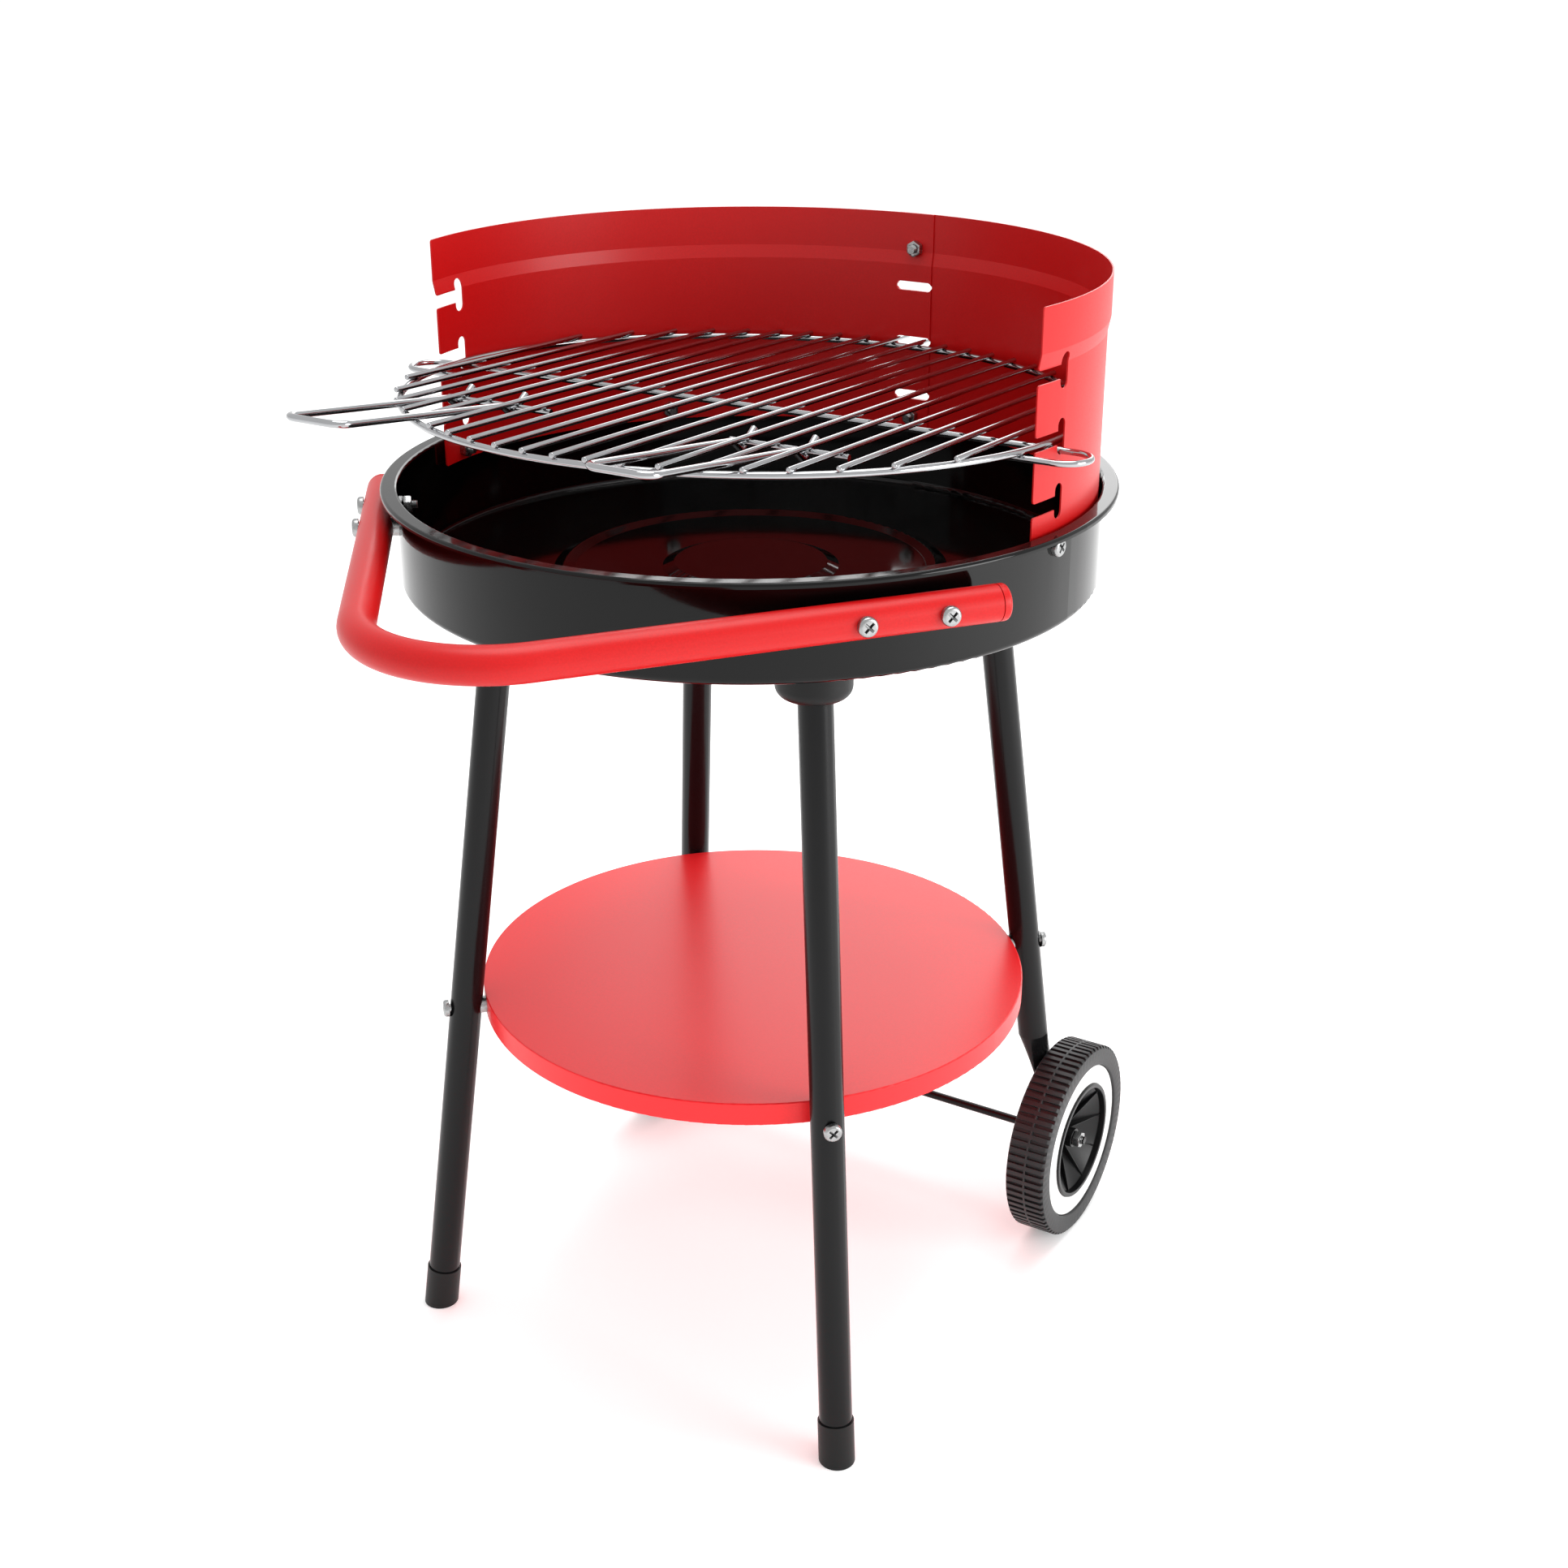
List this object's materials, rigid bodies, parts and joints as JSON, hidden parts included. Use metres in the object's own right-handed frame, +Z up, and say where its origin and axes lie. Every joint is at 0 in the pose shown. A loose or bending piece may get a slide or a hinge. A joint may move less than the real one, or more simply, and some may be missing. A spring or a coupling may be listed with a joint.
{
  "type": "trolley charcoal grill",
  "caption": "Round charcoal grill with an enamelled bowl, half-round windshield, adjustable wire grate, push handle, shelf and wheels.",
  "frame": {"origin": "on the ground, in the middle of the outline in X and Y", "axes": "+Z up, +Y towards the wheels and the windshield, X along the wheel axle"},
  "size_m": [0.5078, 0.6003, 0.752],
  "materials": {
    "black_vitreous_enamel": "glossy vitreous enamel, nearly a mirror",
    "red_powder_coat": "semi-gloss powder coat with a fine orange peel",
    "red_lacquered_board": "painted particle board, satin",
    "black_polyamide": "satin injection-moulded plastic",
    "black_gloss_tube_paint": "smooth glossy paint on tube",
    "black_steel_rod": "smooth glossy paint on rod",
    "charcoal_tyre_plastic": "matt moulded tread",
    "black_hub_plastic": "satin injection-moulded plastic",
    "white_ring_plastic": "glossy moulded plastic",
    "chrome_wire": "bright chrome-plated wire",
    "zinc_plated_steel": "bright zinc plating"
  },
  "bodies": {
    "trolley": {"axle": "black_steel_rod", "axle_nuts": "zinc_plated_steel", "axle_washers": "zinc_plated_steel", "bowl": "black_vitreous_enamel", "foot_left": "black_polyamide", "foot_right": "black_polyamide", "handle_bolts": "zinc_plated_steel", "handle_cap_left": "red_powder_coat", "handle_cap_right": "red_powder_coat", "handle_nuts": "zinc_plated_steel", "handle_spacers": "zinc_plated_steel", "handle_tube": "red_powder_coat", "leg_front_left": "black_gloss_tube_paint", "leg_front_right": "black_gloss_tube_paint", "leg_rear_left": "black_gloss_tube_paint", "leg_rear_right": "black_gloss_tube_paint", "leg_socket_front_left": "black_polyamide", "leg_socket_front_right": "black_polyamide", "leg_socket_rear_left": "black_polyamide", "leg_socket_rear_right": "black_polyamide", "seam_bolt": "zinc_plated_steel", "seam_nut": "zinc_plated_steel", "shelf": "red_lacquered_board", "shelf_screws": "zinc_plated_steel", "shelf_spacers": "zinc_plated_steel", "socket_screws": "zinc_plated_steel", "windshield_bolts": "zinc_plated_steel", "windshield_left": "red_powder_coat", "windshield_nuts": "zinc_plated_steel", "windshield_right": "red_powder_coat", "windshield_spacers": "zinc_plated_steel"},
    "grate": {"grate_bars": "chrome_wire", "grate_handle_left": "chrome_wire", "grate_handle_right": "chrome_wire", "grate_handle_rods": "chrome_wire", "grate_ring": "chrome_wire", "grate_support_rod": "chrome_wire"},
    "wheel_left": {"hub_left": "black_hub_plastic", "trim_ring_left": "white_ring_plastic", "tyre_left": "charcoal_tyre_plastic"},
    "wheel_right": {"hub_right": "black_hub_plastic", "trim_ring_right": "white_ring_plastic", "tyre_right": "charcoal_tyre_plastic"}
  },
  "joints": [
    {"name": "grate_tilt", "type": "hinge", "parent": "trolley", "child": "grate", "pos_m": [0, 0.2855, 0.66212], "axis": [-1, 0, 0], "range_deg": [0, 4]},
    {"name": "wheel_left_spin", "type": "hinge", "parent": "trolley", "child": "wheel_left", "pos_m": [-0.17991, 0.22516, 0.075], "axis": [1, 0, 0], "continuous": true},
    {"name": "wheel_right_spin", "type": "hinge", "parent": "trolley", "child": "wheel_right", "pos_m": [0.17991, 0.22516, 0.075], "axis": [1, 0, 0], "continuous": true}
  ]
}
